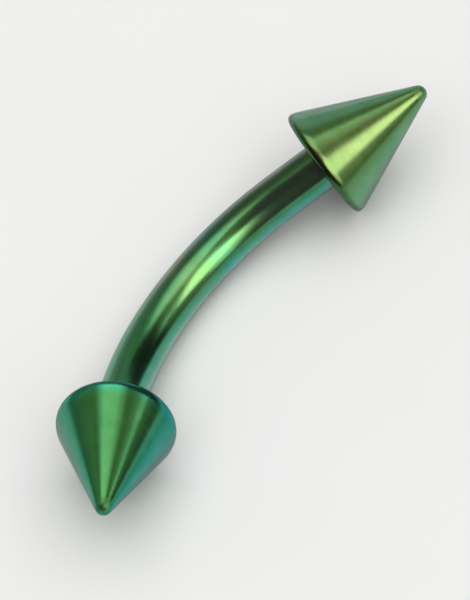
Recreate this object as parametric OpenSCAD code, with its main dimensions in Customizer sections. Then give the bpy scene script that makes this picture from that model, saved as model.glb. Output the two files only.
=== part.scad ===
// Curved eyebrow barbell: a bent wire bar with a screw-on cone at each end.
// Millimetres. It lies as it does on a table: both cone rims and the outside of
// the bend touch the floor at z = 0. X runs from the lower cone to the upper cone.

/* [Bar] */
// Thickness of the bar's wire
wire_d = 1.2; // [1:0.05:1.5]
// Radius of the bend, at the middle of the wire
bend_radius = 6.8; // [6.2:0.1:9.6]
// Angle that the bend turns through, in degrees
bend_angle = 66.5; // [58:0.5:85]
// Straight stretch between the bend and the upper cone
upper_straight = 1.3; // [0.4:0.1:3]

/* [Cones] */
// Width of a cone at its base
cone_d = 2.95; // [2.7:0.05:3.3]
// Length of a cone from its base to its tip
cone_length = 3.2; // [2.9:0.1:5]
// Radius of the rounded tip
tip_radius = 0.22; // [0.1:0.01:0.3]
// Rounding of the rim, where the base meets the side
rim_rounding = 0.15; // [0.05:0.01:0.2]

/* [Threaded ends] */
// Length of each threaded end, from the base of its cone
thread_length = 1.45; // [1.2:0.05:1.6]
// Pitch of the thread
thread_pitch = 0.25; // [0.2:0.01:0.3]
// How far the thread's crests lie below the surface of the wire
thread_step = 0.02; // [0.01:0.01:0.05]
// Plain stretch before the first turn of the thread
thread_lead = 0.1; // [0.05:0.01:0.15]
// Chamfer at the free end of the thread
thread_chamfer = 0.1; // [0.05:0.01:0.15]

/* [Holes] */
// Gap between the thread's crests and the wall of the hole
hole_clearance = 0.03; // [0.02:0.01:0.06]
// Gap between the free end of the thread and the end of the straight wall
hole_end_clearance = 0.05; // [0.02:0.01:0.1]
// Width of the chamfer round the mouth of the hole
mouth_chamfer = 0.06; // [0.04:0.01:0.12]
// Full angle of the drilled point at the bottom of the hole, in degrees
drill_point_angle = 118; // [90:1:140]

/* [Hidden] */
$fn = 96;
titanium_green = [0.45, 0.72, 0.48];

// An ISO thread's groove, as shares of the pitch: its depth, the length of one
// flank, and the flat at its root. The rest of the pitch is the flat crest.
groove_depth = 0.6134 * thread_pitch;
flank_length = 0.3541 * thread_pitch;
root_flat = 0.1667 * thread_pitch;
turns = floor((thread_length - thread_lead - thread_chamfer) / thread_pitch);

wire_r = wire_d / 2;
cone_r = cone_d / 2;
thread_r = wire_r - thread_step;
hole_r = thread_r + hole_clearance;
hole_depth = thread_length + hole_end_clearance;
drill_point = hole_r / tan(drill_point_angle / 2);
arc_steps = 12;

// A threaded end starts inside the wire, as deep as its straight core stays clear
// of the surface of the bent wire round it
core_reach = sqrt(2 * bend_radius * thread_step) / 2;

// The barbell's own frame: the bend lies in XY round the origin, and starts on +X
// at the upper cone's side. A cone's axis runs from the middle of its base to its tip.
lower_axis = [-sin(bend_angle), cos(bend_angle), 0];
upper_axis = [0, -1, 0];
lower_base = bend_radius * [cos(bend_angle), sin(bend_angle), 0];
upper_bend_end = [bend_radius, 0, 0];
upper_base = upper_bend_end + upper_straight * upper_axis;

// The farthest point of each form in the direction d, which is a unit vector
function unit(v) = v / norm(v);
function rim_point(base, axis, d) =
    base + rim_rounding * axis
    + (cone_r - rim_rounding) * unit(d - (d * axis) * axis)
    + rim_rounding * d;
function tip_point(base, axis, d) = base + (cone_length - tip_radius) * axis + tip_radius * d;
function bend_point(d) = bend_radius * unit([d[0], d[1], 0]) + wire_r * d;

// The floor touches both rims and the bend. Each step lays a plane on the points
// that are lowest for the last plane, and a few steps bring it to rest.
function floor_under(a, b, c) = let (n = unit(cross(b - a, c - a))) n[2] > 0 ? -n : n;
function settled(down, steps) = steps == 0 ? down : settled(
    floor_under(
        rim_point(lower_base, lower_axis, down),
        rim_point(upper_base, upper_axis, down),
        bend_point(down)
    ),
    steps - 1
);
settling_steps = 24;
first_guess = unit([cos(bend_angle / 2), sin(bend_angle / 2), -1]);
down = settled(first_guess, settling_steps);

// Directions of the resting frame, and how far the barbell reaches along one. Where
// no part of the bend faces that way, a cone's rim reaches past the end of the bend.
rest_z = -down;
span = upper_base - lower_base;
rest_x = unit(span - (span * rest_z) * rest_z);
rest_y = cross(rest_z, rest_x);
function faces(d) = let (a = atan2(d[1], d[0])) a > 0 && a < bend_angle;
function reach(d) = max(
    d * rim_point(lower_base, lower_axis, d),
    d * tip_point(lower_base, lower_axis, d),
    d * rim_point(upper_base, upper_axis, d),
    d * tip_point(upper_base, upper_axis, d),
    faces(d) ? d * bend_point(d) : d * lower_base
);
function middle(d) = (reach(d) - reach(-d)) / 2;
rest_turn = [
    atan2(rest_z[1], rest_z[2]),
    -asin(rest_z[0]),
    atan2(rest_y[0], rest_x[0])
];

// Points of an arc in a cone's section, from one angle to another
function arc(centre, r, from, to) = [
    for (i = [0:arc_steps])
        let (a = from + (to - from) * i / arc_steps)
            centre + r * [cos(a), sin(a)]
];

module at_rest() {
    translate([-middle(rest_x), -middle(rest_y), reach(down)])
        rotate(rest_turn)
            children();
}

// Stands a form that is drawn along +Z on a cone's base, along the cone's axis
module along(base, axis) {
    translate(base) rotate([0, 90, atan2(axis[1], axis[0])]) children();
}

// One end of the bar: a core that starts inside the wire, and from z = 0, where the
// cone's base lies, the thread as rings of the same section
module threaded_end() {
    grooves = [
        for (i = [0:turns - 1])
            let (z = thread_lead + i * thread_pitch, root = thread_r - groove_depth)
                each [
                    [thread_r, z],
                    [root, z + flank_length],
                    [root, z + flank_length + root_flat],
                    [thread_r, z + 2 * flank_length + root_flat]
                ]
    ];
    rotate_extrude()
        polygon(concat(
            [[0, -core_reach], [thread_r, -core_reach]],
            grooves,
            [
                [thread_r, thread_length - thread_chamfer],
                [thread_r - thread_chamfer, thread_length],
                [0, thread_length]
            ]
        ));
}

// A cone's outside, from its base at z = 0, with the rim and the tip rounded
module cone_outside() {
    rim_centre = [cone_r - rim_rounding, rim_rounding];
    tip_centre = [0, cone_length - tip_radius];
    apart = rim_centre - tip_centre;
    side = atan2(apart[1], apart[0]) + acos((tip_radius - rim_rounding) / norm(apart));
    rotate_extrude()
        polygon(concat(
            [[0, 0]],
            arc(rim_centre, rim_rounding, -90, side),
            arc(tip_centre, tip_radius, side, 90)
        ));
}

// The hole that the threaded end goes into, with its drilled point
module hole() {
    rotate_extrude()
        polygon([
            [0, -mouth_chamfer],
            [hole_r + 2 * mouth_chamfer, -mouth_chamfer],
            [hole_r, mouth_chamfer],
            [hole_r, hole_depth],
            [0, hole_depth + drill_point]
        ]);
}

module cone() {
    difference() {
        cone_outside();
        hole();
    }
}

// The bar is one wire: the bend, the straight stretch and a threaded end each side
module curved_bar() {
    color(titanium_green) at_rest() union() {
        rotate_extrude(angle = bend_angle)
            translate([bend_radius, 0]) circle(d = wire_d);
        translate(upper_bend_end)
            rotate([90, 0, 0]) cylinder(h = upper_straight, d = wire_d);
        along(lower_base, lower_axis) threaded_end();
        along(upper_base, upper_axis) threaded_end();
    }
}

module lower_cone() {
    color(titanium_green) at_rest() along(lower_base, lower_axis) cone();
}

module upper_cone() {
    color(titanium_green) at_rest() along(upper_base, upper_axis) cone();
}

curved_bar();
lower_cone();
upper_cone();
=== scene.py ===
import math
from types import SimpleNamespace

import bpy
from mathutils import Matrix, Vector


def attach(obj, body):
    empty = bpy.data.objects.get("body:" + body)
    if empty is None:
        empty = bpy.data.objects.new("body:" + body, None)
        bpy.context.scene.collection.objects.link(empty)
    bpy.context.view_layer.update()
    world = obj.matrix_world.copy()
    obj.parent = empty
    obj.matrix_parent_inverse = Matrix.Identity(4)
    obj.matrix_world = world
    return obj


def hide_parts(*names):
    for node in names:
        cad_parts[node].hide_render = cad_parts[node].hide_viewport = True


bl_info = {
    "name": "Curved eyebrow barbell",
    "version": (1, 0, 0),
    "blender": (4, 5, 0),
    "location": "3D View > Sidebar > Barbell",
    "description": "Dresses a curved barbell as anodised titanium and lights it on a pale floor",
    "category": "Object",
}

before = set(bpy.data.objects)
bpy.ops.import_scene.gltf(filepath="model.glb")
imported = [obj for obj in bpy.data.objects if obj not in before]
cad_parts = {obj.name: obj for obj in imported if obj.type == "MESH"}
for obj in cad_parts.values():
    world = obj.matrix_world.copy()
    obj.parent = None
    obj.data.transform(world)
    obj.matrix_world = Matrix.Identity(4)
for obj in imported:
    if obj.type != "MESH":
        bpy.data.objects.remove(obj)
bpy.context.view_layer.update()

MM = 0.001

# Sizes in millimetres that the CAD source has too
THREAD_LEAD = 0.1
THREAD_CHAMFER = 0.1
HOLE_END_CLEARANCE = 0.05
MOUTH_CHAMFER = 0.06
DRILL_POINT_ANGLE = math.radians(118)

# An ISO thread's groove, as shares of the pitch: its depth, its width at the crests and the
# flat at its root
GROOVE_DEPTH = 0.6134
GROOVE_MOUTH = 0.8749
GROOVE_ROOT = 0.1667

# The thread that is cut in a cone's hole: its depth, and the height of its start, which lies
# outside the cone
HOLE_GROOVE_DEPTH = 0.11
HOLE_THREAD_START = -0.1

# Turns of the tools for the bar's thread, which runs out past the bar's end, and the hole's
BAR_THREAD_TURNS = 7
HOLE_THREAD_TURNS = 6

# How far a thread's tool reaches past the surface that it cuts: its flanks, and its straight part
TOOL_CLEARANCE = 0.003
TOOL_BEYOND = 0.1

# Polishing has softened the last stretch of a cone's side above the rim. The rim's own rounding
# ends where its surface has turned by the shoulder's angle
SHOULDER_RADIUS = 0.6
SHOULDER_ANGLE = math.radians(11)

# How finely the pieces are modelled
WIRE_SEGMENTS = 96
BEND_STEPS = 120
STRAIGHT_STEPS = 8
CONE_SEGMENTS = 192
THREAD_STEPS = 72

# Points nearer to each other than this, in millimetres, lie in one plane, or are one point
NEAR = 1e-4
SAME = 1e-5

# The slants that a film's colours are given for, as the Facing value of a Layer Weight node
SLANTS = (0.05, 0.20, 0.35, 0.50, 0.67)


class BarbellSizes(bpy.types.PropertyGroup):
    """Sizes of the barbell, the same as in the CAD source."""

    wire_d: bpy.props.FloatProperty(
        name="Wire thickness", description="Thickness of the bar's wire",
        default=1.2 * MM, min=1.0 * MM, max=1.5 * MM, precision=5, unit="LENGTH",
    )
    bend_radius: bpy.props.FloatProperty(
        name="Bend radius", description="Radius of the bend at the middle of the wire",
        default=6.8 * MM, min=6.2 * MM, max=9.6 * MM, precision=5, unit="LENGTH",
    )
    bend_angle: bpy.props.FloatProperty(
        name="Bend angle", description="Angle that the bend turns through",
        default=math.radians(66.5), min=math.radians(58), max=math.radians(85), unit="ROTATION",
    )
    upper_straight: bpy.props.FloatProperty(
        name="Upper straight", description="Straight stretch between the bend and the upper cone",
        default=1.3 * MM, min=0.4 * MM, max=3.0 * MM, precision=5, unit="LENGTH",
    )
    cone_d: bpy.props.FloatProperty(
        name="Cone width", description="Width of a cone at its base",
        default=2.95 * MM, min=2.7 * MM, max=3.3 * MM, precision=5, unit="LENGTH",
    )
    cone_length: bpy.props.FloatProperty(
        name="Cone length", description="Length of a cone from its base to its tip",
        default=3.2 * MM, min=2.9 * MM, max=5.0 * MM, precision=5, unit="LENGTH",
    )
    tip_radius: bpy.props.FloatProperty(
        name="Tip radius", description="Radius of a cone's rounded tip",
        default=0.22 * MM, min=0.1 * MM, max=0.3 * MM, precision=5, unit="LENGTH",
    )
    rim_rounding: bpy.props.FloatProperty(
        name="Rim rounding", description="Rounding of the rim between a cone's base and side",
        default=0.15 * MM, min=0.05 * MM, max=0.2 * MM, precision=5, unit="LENGTH",
    )
    thread_length: bpy.props.FloatProperty(
        name="Thread length", description="Length of each threaded end, from the base of its cone",
        default=1.45 * MM, min=1.2 * MM, max=1.6 * MM, precision=5, unit="LENGTH",
    )
    thread_pitch: bpy.props.FloatProperty(
        name="Thread pitch", description="Distance that a cone travels in one turn",
        default=0.25 * MM, min=0.2 * MM, max=0.3 * MM, precision=5, unit="LENGTH",
    )
    thread_step: bpy.props.FloatProperty(
        name="Thread step", description="How far the thread's crests lie below the wire's surface",
        default=0.02 * MM, min=0.01 * MM, max=0.05 * MM, precision=5, unit="LENGTH",
    )
    hole_clearance: bpy.props.FloatProperty(
        name="Hole clearance", description="Gap between the thread's crests and the hole's wall",
        default=0.03 * MM, min=0.02 * MM, max=0.06 * MM, precision=5, unit="LENGTH",
    )


def film_colour(name, description, colour):
    """A property that holds one colour of an oxide film."""
    return bpy.props.FloatVectorProperty(
        name=name, description=description, subtype="COLOR", size=3, default=colour, min=0, max=1,
    )


class BarbellColours(bpy.types.PropertyGroup):
    """Colours of the oxide film on each piece, with painted reflection in the outer sets, and of
    the floor.

    A film's colour changes with the slant that it is seen at: it is facing where the surface is
    seen straight on, then turned, slanted and steep, and edge where it turns out of sight."""

    bar_facing: film_colour("Bar", "Seen straight on", (0.13, 0.31, 0.11))
    bar_turned: film_colour("Bar, turned", "Seen a little from the side", (0.07, 0.22, 0.10))
    bar_slanted: film_colour("Bar, slanted", "Inside the bend, at a slant", (0.08, 0.35, 0.22))
    bar_steep: film_colour("Bar, steep", "Inside the bend, at a steep slant", (0.17, 0.41, 0.33))
    bar_edge: film_colour("Bar, edge", "Inside edge of the bend", (0.41, 0.64, 0.60))
    # The outside of the bend: painted reflection of the shaded floor that it mirrors
    bar_outer_slanted: film_colour(
        "Bar, outside slanted", "Outside the bend, at a slant", (0.07, 0.15, 0.08)
    )
    bar_outer_steep: film_colour(
        "Bar, outside steep", "Outside the bend, at a steep slant", (0.18, 0.26, 0.19)
    )
    bar_outer_edge: film_colour("Bar, outside edge", "Outside edge of the bend", (0.32, 0.41, 0.33))
    upper_facing: film_colour("Upper cone", "Seen straight on", (0.16, 0.24, 0.08))
    upper_turned: film_colour(
        "Upper cone, turned", "Seen a little from the side", (0.11, 0.24, 0.09)
    )
    upper_slanted: film_colour("Upper cone, slanted", "Seen at a slant", (0.15, 0.35, 0.17))
    upper_steep: film_colour("Upper cone, steep", "Seen at a steep slant", (0.17, 0.37, 0.22))
    upper_edge: film_colour("Upper cone, edge", "Where it turns out of sight", (0.26, 0.40, 0.31))
    lower_facing: film_colour("Lower cone", "Seen straight on", (0.06, 0.20, 0.05))
    lower_turned: film_colour(
        "Lower cone, turned", "Seen a little from the side", (0.09, 0.34, 0.14)
    )
    lower_slanted: film_colour("Lower cone, slanted", "Seen at a slant", (0.025, 0.23, 0.15))
    lower_steep: film_colour("Lower cone, steep", "Seen at a steep slant", (0.05, 0.33, 0.26))
    lower_edge: film_colour("Lower cone, edge", "Where it turns out of sight", (0.12, 0.36, 0.32))
    # The lower cone's outer side: painted reflection of the surroundings that side mirrors
    lower_outer_slanted: film_colour(
        "Lower cone, outer slanted", "The side outside the bend, at a slant", (0.045, 0.24, 0.15)
    )
    lower_outer_steep: film_colour(
        "Lower cone, outer steep", "The side outside the bend, at a steep slant", (0.08, 0.35, 0.21)
    )
    lower_outer_edge: film_colour(
        "Lower cone, outer edge", "Edge of the side outside the bend", (0.16, 0.37, 0.28)
    )
    floor: film_colour("Floor", "Colour of the floor", (0.86, 0.86, 0.85))


def in_mm():
    """The sizes in millimetres, with the ones that follow from them, as in the CAD source."""
    given = bpy.context.scene.barbell_sizes
    s = SimpleNamespace(bend_angle=given.bend_angle)
    for name in (
        "wire_d", "bend_radius", "upper_straight", "cone_d", "cone_length", "tip_radius",
        "rim_rounding", "thread_length", "thread_pitch", "thread_step", "hole_clearance",
    ):
        setattr(s, name, getattr(given, name) / MM)
    s.wire_r = s.wire_d / 2
    s.cone_r = s.cone_d / 2
    s.thread_r = s.wire_r - s.thread_step
    s.hole_r = s.thread_r + s.hole_clearance
    s.hole_depth = s.thread_length + HOLE_END_CLEARANCE
    s.drill_point = s.hole_r / math.tan(DRILL_POINT_ANGLE / 2)
    s.lower_axis = Vector((-math.sin(s.bend_angle), math.cos(s.bend_angle), 0))
    s.upper_axis = Vector((0, -1, 0))
    s.lower_base = s.bend_radius * Vector((math.cos(s.bend_angle), math.sin(s.bend_angle), 0))
    s.upper_base = Vector((s.bend_radius, -s.upper_straight, 0))
    return s


def rim_point(s, base, axis, d):
    """The point of a cone's rounded rim that lies farthest in the direction d."""
    across = (d - d.dot(axis) * axis).normalized()
    return base + s.rim_rounding * axis + (s.cone_r - s.rim_rounding) * across + s.rim_rounding * d


def at_rest(s):
    """Takes millimetres in the bar's own frame to metres in the frame where it lies on the floor.

    The floor touches both rims and the bend, so a plane is laid on their lowest points until it
    stays where it is, as in the CAD source."""
    settling_steps = 24
    down = Vector((math.cos(s.bend_angle / 2), math.sin(s.bend_angle / 2), -1)).normalized()
    for _ in range(settling_steps):
        a = rim_point(s, s.lower_base, s.lower_axis, down)
        b = rim_point(s, s.upper_base, s.upper_axis, down)
        c = s.bend_radius * Vector((down.x, down.y, 0)).normalized() + s.wire_r * down
        down = (b - a).cross(c - a).normalized()
        if down.z > 0:
            down.negate()
    up = -down
    span = s.upper_base - s.lower_base
    x = (span - span.dot(up) * up).normalized()
    y = up.cross(x)

    def reach(d):
        far = []
        for base, axis in ((s.lower_base, s.lower_axis), (s.upper_base, s.upper_axis)):
            far.append(d.dot(rim_point(s, base, axis, d)))
            far.append(d.dot(base + (s.cone_length - s.tip_radius) * axis + s.tip_radius * d))
        if 0 < math.atan2(d.y, d.x) < s.bend_angle:
            far.append(s.bend_radius * Vector((d.x, d.y)).length + s.wire_r)
        return max(far)

    shift = Vector((-(reach(x) - reach(-x)) / 2, -(reach(y) - reach(-y)) / 2, reach(down)))
    turn = Matrix((x, y, up)).to_4x4()
    return Matrix.Scale(MM, 4) @ Matrix.Translation(shift) @ turn


def along(base, axis):
    """Stands a form drawn along +Z on a base point in the bar's own frame, along an axis."""
    side = Vector((0, 0, 1))
    turn = Matrix((side.cross(axis), side, axis)).transposed().to_4x4()
    return Matrix.Translation(base) @ turn


def arc(centre, radius, start, end, steps):
    """Points of an arc in a section, as (distance from the axis, height)."""
    return [
        (
            centre[0] + radius * math.cos(start + (end - start) * i / steps),
            centre[1] + radius * math.sin(start + (end - start) * i / steps),
        )
        for i in range(steps + 1)
    ]


def between(start, end, steps):
    """Points from one to another, closer together near both ends, without the first."""
    shares = [(1 - math.cos(math.pi * i / steps)) / 2 for i in range(1, steps + 1)]
    return [tuple(a + (b - a) * t for a, b in zip(start, end)) for t in shares]


def select_only(*objects):
    bpy.ops.object.select_all(action="DESELECT")
    for o in objects:
        o.select_set(True)
    bpy.context.view_layer.objects.active = objects[0]


def select_points(o, wanted):
    """Selects the points of an object in edit mode whose place passes a test."""
    bpy.ops.mesh.select_mode(type="VERT")
    bpy.ops.mesh.select_all(action="DESELECT")
    bpy.ops.object.mode_set(mode="OBJECT")
    for v in o.data.vertices:
        v.select = wanted(v.co)
    bpy.ops.object.mode_set(mode="EDIT")


def grow(centre, step, factor):
    """Extrudes the selected ring by a step and resizes it about its new middle."""
    bpy.ops.mesh.extrude_region_move(TRANSFORM_OT_translate={"value": tuple(step)})
    if abs(factor - 1) > 1e-9:
        bpy.ops.transform.resize(value=(factor,) * 3, center_override=tuple(centre))


def turned(name, section, segments):
    """A closed form turned about Z: a ring follows the section from its first point to its last.

    The first and last points lie on the axis and are closed there."""
    bpy.ops.object.select_all(action="DESELECT")
    r, z = section[1]
    bpy.ops.mesh.primitive_circle_add(vertices=segments, radius=r, location=(0, 0, z))
    o = bpy.context.object
    o.name = o.data.name = name
    bpy.ops.object.transform_apply(location=True, rotation=True, scale=True)
    first = r, z
    bpy.ops.object.mode_set(mode="EDIT")
    bpy.ops.mesh.select_all(action="SELECT")
    for nr, nz in section[2:-1]:
        grow((0, 0, nz), (0, 0, nz - z), nr / r)
        r, z = nr, nz
    bpy.ops.mesh.extrude_region_move(TRANSFORM_OT_translate={"value": (0, 0, section[-1][1] - z)})
    bpy.ops.mesh.merge(type="CENTER")
    select_points(
        o,
        lambda p: abs(p.z - first[1]) < NEAR and abs(math.hypot(p.x, p.y) - first[0]) < NEAR,
    )
    bpy.ops.mesh.extrude_region_move(
        TRANSFORM_OT_translate={"value": (0, 0, section[0][1] - first[1])}
    )
    bpy.ops.mesh.merge(type="CENTER")
    close_mesh()
    return o


def close_mesh():
    """Joins an edited mesh's points where they meet, turns its faces outwards, and leaves it."""
    bpy.ops.mesh.select_all(action="SELECT")
    bpy.ops.mesh.remove_doubles(threshold=SAME)
    bpy.ops.mesh.normals_make_consistent(inside=False)
    bpy.ops.object.mode_set(mode="OBJECT")


def thread_cutter(s, inner, outer, wide_outside, start, turns):
    """A right-hand helical tool for cutting a thread.

    Its section is a trapezoid between two radii, with its wide side outside for a thread on a
    rod and inside for one in a hole, and it goes on straight past that side. The wide side's
    corners are kept just clear of the surface that is cut, never exactly on it."""
    wide = GROOVE_MOUTH * s.thread_pitch
    narrow = GROOVE_ROOT * s.thread_pitch / wide
    middle = start + wide / 2
    edge = outer if wide_outside else inner
    sign = 1 if wide_outside else -1
    past_edge = (edge + sign * TOOL_BEYOND / 2, 0, middle)
    bpy.ops.object.select_all(action="DESELECT")
    bpy.ops.mesh.primitive_plane_add(size=1, location=past_edge, rotation=(math.pi / 2, 0, 0))
    o = bpy.context.object
    o.name = "thread_tool"
    bpy.ops.object.transform_apply(location=True, rotation=True, scale=True)
    bpy.ops.object.mode_set(mode="EDIT")
    bpy.ops.mesh.select_all(action="SELECT")
    bpy.ops.transform.resize(value=(TOOL_BEYOND, 1, wide), center_override=past_edge)
    select_points(o, lambda p: abs(p.x - edge) < NEAR)
    depth = outer - inner
    bpy.ops.mesh.extrude_region_move(TRANSFORM_OT_translate={"value": (-sign * depth, 0, 0)})
    bpy.ops.transform.resize(
        value=(1, 1, narrow), center_override=(edge - sign * depth, 0, middle)
    )
    bpy.ops.mesh.select_mode(type="EDGE")
    bpy.ops.mesh.select_all(action="SELECT")
    bpy.ops.mesh.region_to_loop()
    bpy.ops.mesh.select_all(action="INVERT")
    bpy.ops.mesh.delete(type="EDGE")
    bpy.ops.mesh.select_mode(type="VERT")
    bpy.ops.object.mode_set(mode="OBJECT")
    if len(o.data.vertices) != 6 or len(o.data.edges) != 6 or o.data.polygons:
        raise RuntimeError("the thread tool's section isn't one plain outline")
    select_only(o)
    sweep = o.modifiers.new("Sweep", "SCREW")
    sweep.axis = "Z"
    sweep.angle = 2 * math.pi
    sweep.screw_offset = s.thread_pitch
    sweep.iterations = turns
    sweep.steps = sweep.render_steps = THREAD_STEPS
    sweep.use_merge_vertices = False
    bpy.ops.object.modifier_apply(modifier=sweep.name)
    bpy.ops.object.mode_set(mode="EDIT")
    bpy.ops.mesh.select_all(action="SELECT")
    bpy.ops.mesh.fill_holes(sides=0)
    bpy.ops.mesh.select_all(action="SELECT")
    bpy.ops.mesh.normals_make_consistent(inside=False)
    bpy.ops.object.mode_set(mode="OBJECT")
    return o


def cut(o, tool):
    """Cuts a tool's form out of an object, and removes the tool."""
    select_only(o)
    thread = o.modifiers.new("Thread", "BOOLEAN")
    thread.operation = "DIFFERENCE"
    thread.solver = "EXACT"
    thread.object = tool
    bpy.ops.object.modifier_apply(modifier=thread.name)
    bpy.data.objects.remove(tool)
    bpy.ops.object.mode_set(mode="EDIT")
    bpy.ops.mesh.select_all(action="SELECT")
    bpy.ops.mesh.remove_doubles(threshold=NEAR)
    bpy.ops.mesh.dissolve_degenerate(threshold=SAME)
    bpy.ops.object.mode_set(mode="OBJECT")


def place(o, matrix):
    """Puts an object's place into its mesh, which leaves the object at the origin."""
    select_only(o)
    o.matrix_world = matrix
    bpy.ops.object.transform_apply(location=True, rotation=True, scale=True)


def finish_piece(o, node, body, material):
    """Smooths a piece, gives it its material, and lets it stand for its CAD node."""
    select_only(o)
    bpy.ops.object.shade_smooth_by_angle(angle=math.radians(35), keep_sharp_edges=True)
    o.data.materials.clear()
    o.data.materials.append(material)
    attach(o, body)
    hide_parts(node)


class Nodes:
    """Adds nodes to a tree from left to right and joins them."""

    def __init__(self, tree):
        self.tree = tree
        self.tree.nodes.clear()
        self.count = 0

    def add(self, kind, inputs=None, **settings):
        node = self.tree.nodes.new(kind)
        node.location = (220 * (self.count % 9), -260 * (self.count // 9))
        self.count += 1
        for name, value in settings.items():
            setattr(node, name, value)
        for name, value in (inputs or {}).items():
            self.feed(node.inputs[name], value)
        return node

    def feed(self, socket, value):
        if isinstance(value, bpy.types.NodeSocket):
            self.tree.links.new(value, socket)
        elif isinstance(value, bpy.types.Node):
            self.tree.links.new(value.outputs[0], socket)
        else:
            socket.default_value = value

    def math(self, operation, a, b=0.0):
        node = self.add("ShaderNodeMath", operation=operation)
        self.feed(node.inputs[0], a)
        self.feed(node.inputs[1], b)
        return node.outputs[0]

    def ramp(self, value, *stops, interpolation="EASE"):
        """A ramp, smooth unless told otherwise: each stop is (place, grey value or colour)."""
        node = self.add("ShaderNodeValToRGB", {"Fac": value})
        ramp = node.color_ramp
        ramp.interpolation = interpolation
        while len(ramp.elements) < len(stops):
            ramp.elements.new(0.5)
        for element, (place, shade) in zip(ramp.elements, stops):
            element.position = place
            element.color = (*shade, 1) if hasattr(shade, "__len__") else (shade, shade, shade, 1)
        return node.outputs["Color"]

    def fade(self, value, start, end, low=0.0, high=1.0):
        """Goes evenly from low to high while a value goes from start to end."""
        limits = {"Value": value, "From Min": start, "From Max": end, "To Min": low, "To Max": high}
        return self.add("ShaderNodeMapRange", limits).outputs["Result"]

    def tint(self, colour, share, by):
        """Multiplies a colour by another one, as far as the share says."""
        return self.mix(share, colour, by, "MULTIPLY")

    def mix(self, share, a, b, blend="MIX"):
        node = self.add("ShaderNodeMix", data_type="RGBA", blend_type=blend)
        self.feed(node.inputs["Factor"], share)
        self.feed(node.inputs[6], a if hasattr(a, "links") else (*a, 1))
        self.feed(node.inputs[7], b if hasattr(b, "links") else (*b, 1))
        return node.outputs[2]

    def noise(self, vector, scale, detail=3.0, roughness=0.55):
        node = self.add(
            "ShaderNodeTexNoise",
            {"Vector": vector, "Scale": scale, "Detail": detail, "Roughness": roughness},
        )
        return node.outputs["Fac"]


def own_coordinates(nodes, matrix):
    """Object coordinates turned into a piece's own frame, in metres."""
    place, turn, _ = matrix.decompose()
    where = nodes.add("ShaderNodeTexCoord").outputs["Object"]
    mapping = nodes.add("ShaderNodeMapping", {"Vector": where}, vector_type="TEXTURE")
    mapping.inputs["Location"].default_value = place
    mapping.inputs["Rotation"].default_value = turn.to_euler()
    return mapping.outputs["Vector"]


def stretched(nodes, vector, scale):
    return nodes.add("ShaderNodeMapping", {"Vector": vector, "Scale": scale}).outputs["Vector"]


def film_by_slant(n, tilt, colours):
    """The colour of an oxide film, which changes with the slant that it is seen at."""
    return n.ramp(tilt, *zip(SLANTS, colours), interpolation="LINEAR")


def bar_film(n, tilt, turn, across, inner, outer):
    """The film on the bar: one set of colours inside the bend and one outside, which is painted
    reflection of the shaded floor that the outside mirrors, drifting along it.

    turn is the angle round the bend in radians, from the upper cone's end, and across is the
    distance outwards from the bend's middle line in metres."""
    inner = film_by_slant(n, tilt, inner)
    outer = film_by_slant(n, tilt, outer)
    # The outside's painted reflection goes from olive by the upper cone to teal by the lower one,
    # and inside the film is bluer by the upper cone
    outer = n.tint(outer, n.fade(turn, 0.35, 0.0), (0.98, 0.82, 0.88))
    outer = n.tint(outer, n.fade(turn, 0.45, 0.8), (0.76, 1.20, 1.02))
    inner = n.tint(inner, n.fade(turn, 0.2, 0.0), (0.92, 1.05, 1.20))
    # Across the bar the inner film gives way to the outside's painted reflection
    colour = n.mix(n.fade(across, -0.45 * MM, -0.21 * MM), inner, outer)
    # A stretch of the bar nearer the upper cone has a cooler film, and the next a warmer one
    cool = n.ramp(turn, (0.18, 0.0), (0.30, 1.0), (0.41, 0.0))
    colour = n.tint(colour, cool, (0.86, 1.05, 1.22))
    warm = n.ramp(turn, (0.36, 0.0), (0.48, 1.0), (0.62, 0.0))
    return n.tint(colour, warm, (1.18, 1.02, 1.00))


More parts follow.
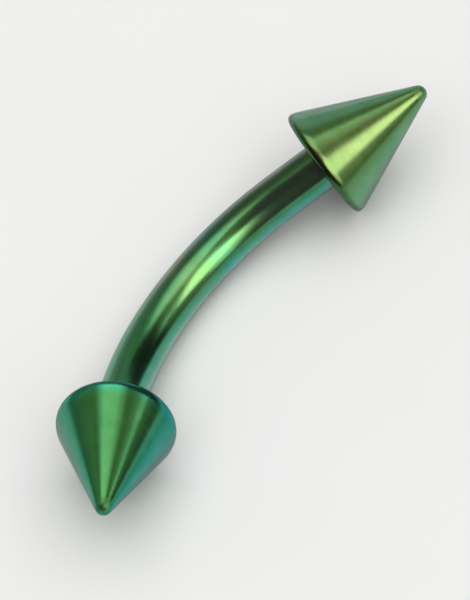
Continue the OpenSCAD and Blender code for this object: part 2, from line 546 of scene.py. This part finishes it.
def titanium(name, own, film, marks, bend=None, other=None, side=None, tip=None):
    """Polished titanium under an oxide film.

    own is the piece's own frame, film its colours from straight on to the edge, and marks the
    stretch of its polishing marks. bend is the bend's radius in metres for a piece that follows
    it. other is a second set of colours, painted reflection of the surroundings mirrored on the
    outside of the bend or else on the side of a cone that side points to across its axis. tip is
    the height in metres of a cone's tip, which is duller. A cone's colour is darkened round its
    rim as painted shade where it meets the bar, and where it has a second set of colours, a
    cooler tint above the rim is painted reflection."""
    material = bpy.data.materials.new(name)
    material.use_nodes = True
    n = Nodes(material.node_tree)
    where = own_coordinates(n, own)
    tilt = n.add("ShaderNodeLayerWeight", {"Blend": 0.5}).outputs["Facing"]
    parts = n.add("ShaderNodeSeparateXYZ", {"Vector": where})
    out = n.add("ShaderNodeCombineXYZ", {"X": parts.outputs["X"], "Y": parts.outputs["Y"]})
    if bend:
        radius = n.add("ShaderNodeVectorMath", {0: out}, operation="LENGTH").outputs["Value"]
        turn = n.math("ARCTAN2", parts.outputs["Y"], parts.outputs["X"])
        run = n.math("MULTIPLY", turn, bend)
        across = n.math("SUBTRACT", radius, bend)
        where = n.add(
            "ShaderNodeCombineXYZ", {"X": across, "Y": run, "Z": parts.outputs["Z"]}
        ).outputs["Vector"]
        colour = bar_film(n, tilt, turn, across, film, other)
    else:
        colour = film_by_slant(n, tilt, film)
    # Painted reflection: the side of a cone that side points to gets the second set of colours
    if other and not bend:
        painted_reflection_side = n.add(
            "ShaderNodeVectorMath",
            {0: n.add("ShaderNodeVectorMath", {0: out}, operation="NORMALIZE"), 1: side},
            operation="DOT_PRODUCT",
        ).outputs["Value"]
        share = n.fade(painted_reflection_side, -0.25, 0.25)
        colour = n.mix(share, colour, film_by_slant(n, tilt, other))
    # The film's thickness wanders a little, and its colour with it
    for scale, thin in ((620.0, (0.90, 0.93, 0.94)), (2300.0, (0.88, 0.92, 0.90))):
        blotches = n.ramp(n.noise(where, scale, 2.0), (0.35, 0.0), (0.65, 1.0))
        colour = n.tint(colour, blotches, thin)
    if tip:
        height = parts.outputs["Z"]
        if other:
            # Painted reflection: the shoulder of this cone, above its base, is tinted cooler and
            # brighter where it isn't seen steeply, for the bright surroundings that its rounding
            # mirrors
            shoulder = n.fade(height, 0.44 * MM, 0.30 * MM)
            shoulder = n.math("MULTIPLY", shoulder, n.fade(height, 0.01 * MM, 0.08 * MM))
            shoulder = n.math("MULTIPLY", shoulder, n.fade(tilt, 0.55, 0.25))
            colour = n.tint(colour, shoulder, (0.82, 1.25, 1.90))
        # Painted shade: the colour is darkened round the rim, where the cone meets the bar
        rim = n.fade(height, 0.22 * MM, 0.10 * MM)
        colour = n.tint(colour, rim, (0.45, 0.46, 0.46))
    lines = n.noise(stretched(n, where, marks), 1.0, 4.0, 0.7)
    cloud = n.noise(where, 1500.0, 3.0)
    rough = n.fade(lines, 0.25, 0.75, 0.18, 0.25)
    rough = n.math("ADD", rough, n.math("MULTIPLY", n.math("SUBTRACT", cloud, 0.5), 0.06))
    if tip:
        worn = n.fade(height, tip - 0.32 * MM, tip - 0.08 * MM)
        rough = n.math("ADD", rough, n.math("MULTIPLY", worn, 0.30))
    bump = n.add(
        "ShaderNodeBump", {"Height": lines, "Strength": 0.06, "Distance": 0.00001}
    ).outputs["Normal"]
    metal = n.add(
        "ShaderNodeBsdfPrincipled",
        {
            "Base Color": colour,
            "Metallic": 1.0,
            "Specular Tint": (0.6, 0.6, 0.6, 1),
            "Roughness": rough,
            "Normal": bump,
        },
    )
    n.add("ShaderNodeOutputMaterial", {"Surface": metal})
    return material


def film_set(piece, side=""):
    """A piece's film colours from straight on to the edge. A side that is painted reflection has
    its own last three.
    """
    names = ["facing", "turned"] + [side + name for name in ("slanted", "steep", "edge")]
    return [getattr(bpy.context.scene.barbell_colours, piece + "_" + name)[:] for name in names]


def cone_section(s):
    """Section of a cone from its drilled point round the rim to its tip, in millimetres."""
    rim = (s.cone_r - s.rim_rounding, s.rim_rounding)
    tip = (0.0, s.cone_length - s.tip_radius)
    inwards = SHOULDER_RADIUS - s.rim_rounding
    shoulder = (
        rim[0] - inwards * math.cos(SHOULDER_ANGLE),
        rim[1] - inwards * math.sin(SHOULDER_ANGLE),
    )
    apart = (shoulder[0] - tip[0], shoulder[1] - tip[1])
    side = math.atan2(apart[1], apart[0])
    side += math.acos((s.tip_radius - SHOULDER_RADIUS) / math.hypot(*apart))
    down = -math.pi / 2
    rim_arc = arc(rim, s.rim_rounding, down, SHOULDER_ANGLE, 16)
    rim_arc += arc(shoulder, SHOULDER_RADIUS, SHOULDER_ANGLE, side, 8)[1:]
    tip_arc = arc(tip, s.tip_radius, side, -down, 18)
    mouth = (s.hole_r + MOUTH_CHAMFER, 0.0)
    wall_end = (s.hole_r, s.hole_depth)
    wall_start = (s.hole_r, MOUTH_CHAMFER)
    points = [(0.0, s.hole_depth + s.drill_point), wall_end, wall_start, mouth]
    points += between(mouth, rim_arc[0], 6)
    points += rim_arc[1:]
    points += between(rim_arc[-1], tip_arc[0], 44)
    points += tip_arc[1:]
    return points


def bent_wire(s):
    """The bend of the wire, open at both ends, in the bar's own frame."""
    bpy.ops.object.select_all(action="DESELECT")
    bpy.ops.mesh.primitive_circle_add(
        vertices=WIRE_SEGMENTS, radius=s.wire_r, location=(s.bend_radius, 0, 0),
        rotation=(math.pi / 2, 0, 0),
    )
    bar = bpy.context.object
    bar.name = bar.data.name = "bar_polished"
    bpy.ops.object.transform_apply(location=True, rotation=True, scale=True)
    bpy.ops.object.mode_set(mode="EDIT")
    bpy.ops.mesh.select_all(action="SELECT")
    bpy.ops.mesh.spin(
        steps=BEND_STEPS, angle=s.bend_angle, center=(0, 0, 0), axis=(0, 0, -1), dupli=False
    )
    bpy.ops.object.mode_set(mode="OBJECT")
    if max(v.co.y for v in bar.data.vertices) < 1:
        raise RuntimeError("the bend turned the wrong way")
    return bar


def add_end(s, bar, start, base, axis):
    """Takes an open end of the bend straight on to a cone's base, and then on as the plain rod
    that the thread is cut on. The bar is in edit mode."""
    select_points(
        bar, lambda p: abs((p - start).dot(axis)) < NEAR and (p - start).length < s.wire_d
    )
    length = (base - start).length
    if length > 0:
        for _ in range(STRAIGHT_STEPS):
            grow(base, axis * length / STRAIGHT_STEPS, 1)
    grow(base, Vector(), s.thread_r / s.wire_r)
    grow(base, axis * (s.thread_length - THREAD_CHAMFER), 1)
    end = base + axis * s.thread_length
    grow(end, axis * THREAD_CHAMFER, (s.thread_r - THREAD_CHAMFER) / s.thread_r)
    bpy.ops.mesh.extrude_region_move(TRANSFORM_OT_translate={"value": (0, 0, 0)})
    bpy.ops.mesh.merge(type="CENTER")


class BARBELL_OT_bar(bpy.types.Operator):
    """Model the bent bar with its two threaded ends, and give it its oxide film"""

    bl_idname = "barbell.bar"
    bl_label = "Bar"

    def execute(self, context):
        s = in_mm()
        bar = bent_wire(s)
        bpy.ops.object.mode_set(mode="EDIT")
        add_end(s, bar, Vector((s.bend_radius, 0, 0)), s.upper_base, s.upper_axis)
        add_end(s, bar, s.lower_base, s.lower_base, s.lower_axis)
        close_mesh()

        root = s.thread_r - GROOVE_DEPTH * s.thread_pitch
        for base, axis in ((s.upper_base, s.upper_axis), (s.lower_base, s.lower_axis)):
            tool = thread_cutter(
                s, root, s.thread_r + TOOL_CLEARANCE, True, THREAD_LEAD, BAR_THREAD_TURNS
            )
            place(tool, along(base, axis))
            cut(bar, tool)

        own = at_rest(s)
        place(bar, own)
        # The bar's outside gets painted reflection of the shaded floor beside it
        film = titanium(
            "Green anodised titanium, bar", own, film_set("bar"), (9000.0, 160.0, 9000.0),
            bend=s.bend_radius * MM, other=film_set("bar", "painted_reflection_"),
        )
        finish_piece(bar, "curved_bar", "bar", film)
        return {"FINISHED"}


class BARBELL_OT_cones(bpy.types.Operator):
    """Model the two screw-on cones with their threaded holes, and give them their oxide films"""

    bl_idname = "barbell.cones"
    bl_label = "Cones"

    def execute(self, context):
        s = in_mm()
        cone = turned("lower_cone_polished", cone_section(s), CONE_SEGMENTS)
        tool = thread_cutter(
            s, s.hole_r - TOOL_CLEARANCE, s.hole_r + HOLE_GROOVE_DEPTH, False,
            HOLE_THREAD_START, HOLE_THREAD_TURNS,
        )
        cut(cone, tool)
        select_only(cone)
        bpy.ops.object.duplicate()
        other = bpy.context.object
        other.name = other.data.name = "upper_cone_polished"
        rest = at_rest(s)
        for o, base, axis, node in (
            (cone, s.lower_base, s.lower_axis, "lower_cone"),
            (other, s.upper_base, s.upper_axis, "upper_cone"),
        ):
            own = rest @ along(base, axis)
            place(o, own)
            end = node.split("_")[0]
            # The lower cone's outer side gets a second set of colours, which is painted reflection
            metal = titanium(
                "Green anodised titanium, " + end + " cone", own, film_set(end),
                (260.0, 260.0, 9000.0),
                other=film_set("lower", "painted_reflection_") if end == "lower" else None,
                side=(-0.78, 0.63, 0.0), tip=s.cone_length * MM,
            )
            finish_piece(o, node, node, metal)
        return {"FINISHED"}


def direction(azimuth, elevation):
    """A unit vector, with the azimuth counted from -Y towards +X."""
    a, e = math.radians(azimuth), math.radians(elevation)
    return Vector((math.sin(a) * math.cos(e), -math.cos(a) * math.cos(e), math.sin(e)))


def face_the_barbell(o, azimuth, elevation, roll, distance):
    """Puts a stage object at a distance in metres, turned towards the barbell."""
    towards = direction(azimuth, elevation)
    turn = towards.to_track_quat("Z", "Y").to_matrix() @ Matrix.Rotation(math.radians(roll), 3, "Z")
    o.location = towards * distance
    o.rotation_euler = turn.to_euler()


def card(name, azimuth, elevation, wide, high, shine, roll=0, distance=1.0):
    """A card that the metal mirrors as a bright or a dark patch. It leaves the floor as it is.

    Its width and height are as if it stood 1 m away, and the nearer one hides the farther."""
    bpy.ops.mesh.primitive_plane_add(size=1)
    o = bpy.context.object
    o.name = name
    o.scale = (wide * distance, high * distance, 1)
    face_the_barbell(o, azimuth, elevation, roll, distance)
    material = bpy.data.materials.new(name)
    material.use_nodes = True
    n = Nodes(material.node_tree)
    glow = n.add("ShaderNodeEmission", {"Color": (*(c / max(shine) for c in shine), 1)})
    glow.inputs["Strength"].default_value = max(shine)
    n.add("ShaderNodeOutputMaterial", {"Surface": glow})
    o.data.materials.append(material)
    o.visible_camera = o.visible_diffuse = o.visible_shadow = False


class BARBELL_OT_stage(bpy.types.Operator):
    """Set the pale floor, the soft lights and the camera at the photograph's angle"""

    bl_idname = "barbell.stage"
    bl_label = "Stage"

    def execute(self, context):
        scene = context.scene
        bpy.ops.object.select_all(action="DESELECT")
        bpy.ops.mesh.primitive_plane_add(size=6, location=(0, 0, 0))
        floor = context.object
        floor.name = "floor"
        material = bpy.data.materials.new("Pale floor")
        material.use_nodes = True
        n = Nodes(material.node_tree)
        where = n.add("ShaderNodeTexCoord").outputs["Object"]
        grain = n.noise(where, 90.0, 3.0)
        pale = scene.barbell_colours.floor[:]
        colour = n.mix(n.ramp(grain, (0.3, 0.0), (0.7, 1.0)), pale, tuple(c * 0.985 for c in pale))
        cloth = n.add(
            "ShaderNodeBsdfPrincipled",
            {"Base Color": colour, "Roughness": 0.9, "Specular IOR Level": 0.1},
        )
        n.add("ShaderNodeOutputMaterial", {"Surface": cloth})
        floor.data.materials.append(material)

        # The key light is the bright streak in the photograph, and the second light the dimmer
        # one. Each card has its azimuth, elevation, width, height, shine, roll and distance
        card("key_light", 10, 46, 0.63, 0.67, (4.3, 3.95, 3.8), 18)
        card("key_glow", -4.5, 30, 0.27, 0.69, (1.95, 1.95, 1.95), 26, 1.04)
        card("second_light", 132.5, 68, 0.58, 0.58, (2.05, 2.05, 2.05), -12)
        card("strip_light", 164, 54, 0.13, 0.54, (1.0, 1.0, 1.0), -40, 1.08)
        card("bridge_light", 66, 69, 0.17, 0.79, (1.25, 1.25, 1.25), 61, 1.12)
        card("small_light", 48, 34, 0.08, 0.20, (2.1, 2.1, 2.1), 0, 1.14)
        card("low_light", 125.5, 5, 1.60, 1.14, (0.61, 0.61, 0.61), 1, 1.16)
        card("key_halo", 17, 44, 1.12, 0.32, (0.58, 0.58, 0.58), 7, 1.2)
        card("left_dark_card", -68, 36, 3.2, 1.8, (0.14, 0.066, 0.12), -31, 1.24)
        card("right_dark_card", 69, 23.5, 1.7, 0.59, (0.055, 0.04, 0.04), 50, 1.3)

        lamp = bpy.data.lights.new("floor_light", "AREA")
        lamp.shape = "SQUARE"
        size, radiance = 1.6, 1.3
        lamp.size = size
        lamp.energy = radiance * math.pi * size ** 2
        floor_light = bpy.data.objects.new("floor_light", lamp)
        scene.collection.objects.link(floor_light)
        face_the_barbell(floor_light, 30, 82, 0, 1.0)
        floor_light.visible_glossy = False

        # The room is dim for the floor, and a little brighter and warmer in the metal
        world = bpy.data.worlds.new("Dim studio")
        scene.world = world
        world.use_nodes = True
        w = Nodes(world.node_tree)
        mirrored = w.add("ShaderNodeLightPath").outputs["Is Glossy Ray"]
        room = w.mix(mirrored, (0.45, 0.45, 0.45), (0.36, 0.36, 0.22))
        dim = w.add("ShaderNodeBackground", {"Color": room, "Strength": 1.0})
        w.add("ShaderNodeOutputWorld", {"Surface": dim})

        # The camera that fits the photograph's outline: its axes, and the point it looks at,
        # which lies a little to the right of the barbell's own middle, and above it
        right = Vector((0.58576674, -0.79869219, -0.13772479))
        up = Vector((0.73561917, 0.45259946, 0.50400216))
        back = right.cross(up)
        middle = (Vector((-0.703, 0.238, 1.204)) + 0.890 * right + 0.232 * up) * MM
        distance = 161.29 * MM
        lens = bpy.data.cameras.new("camera")
        lens.lens = 394.3
        lens.clip_start = 0.01
        camera = bpy.data.objects.new("camera", lens)
        scene.collection.objects.link(camera)
        turn = Matrix((right, up, back)).transposed().to_4x4()
        camera.matrix_world = Matrix.Translation(middle + distance * back) @ turn
        scene.camera = camera
        scene.view_settings.view_transform = "Standard"
        return {"FINISHED"}


class BARBELL_PT_panel(bpy.types.Panel):
    """Lists the barbell's steps, sizes and colours"""

    bl_label = "Barbell"
    bl_idname = "BARBELL_PT_panel"
    bl_space_type = "VIEW_3D"
    bl_region_type = "UI"
    bl_category = "Barbell"

    def draw(self, context):
        for operator in (BARBELL_OT_bar, BARBELL_OT_cones, BARBELL_OT_stage):
            self.layout.operator(operator.bl_idname)
        for group in (context.scene.barbell_sizes, context.scene.barbell_colours):
            box = self.layout.box()
            for name in group.__annotations__:
                box.prop(group, name)


CLASSES = (
    BarbellSizes, BarbellColours, BARBELL_OT_bar, BARBELL_OT_cones, BARBELL_OT_stage,
    BARBELL_PT_panel,
)


def register():
    for c in CLASSES:
        bpy.utils.register_class(c)
    bpy.types.Scene.barbell_sizes = bpy.props.PointerProperty(type=BarbellSizes)
    bpy.types.Scene.barbell_colours = bpy.props.PointerProperty(type=BarbellColours)


def unregister():
    del bpy.types.Scene.barbell_colours
    del bpy.types.Scene.barbell_sizes
    for c in reversed(CLASSES):
        bpy.utils.unregister_class(c)


def main():
    register()
    bpy.ops.barbell.bar()
    bpy.ops.barbell.cones()
    bpy.ops.barbell.stage()


if __name__ == "__main__":
    main()
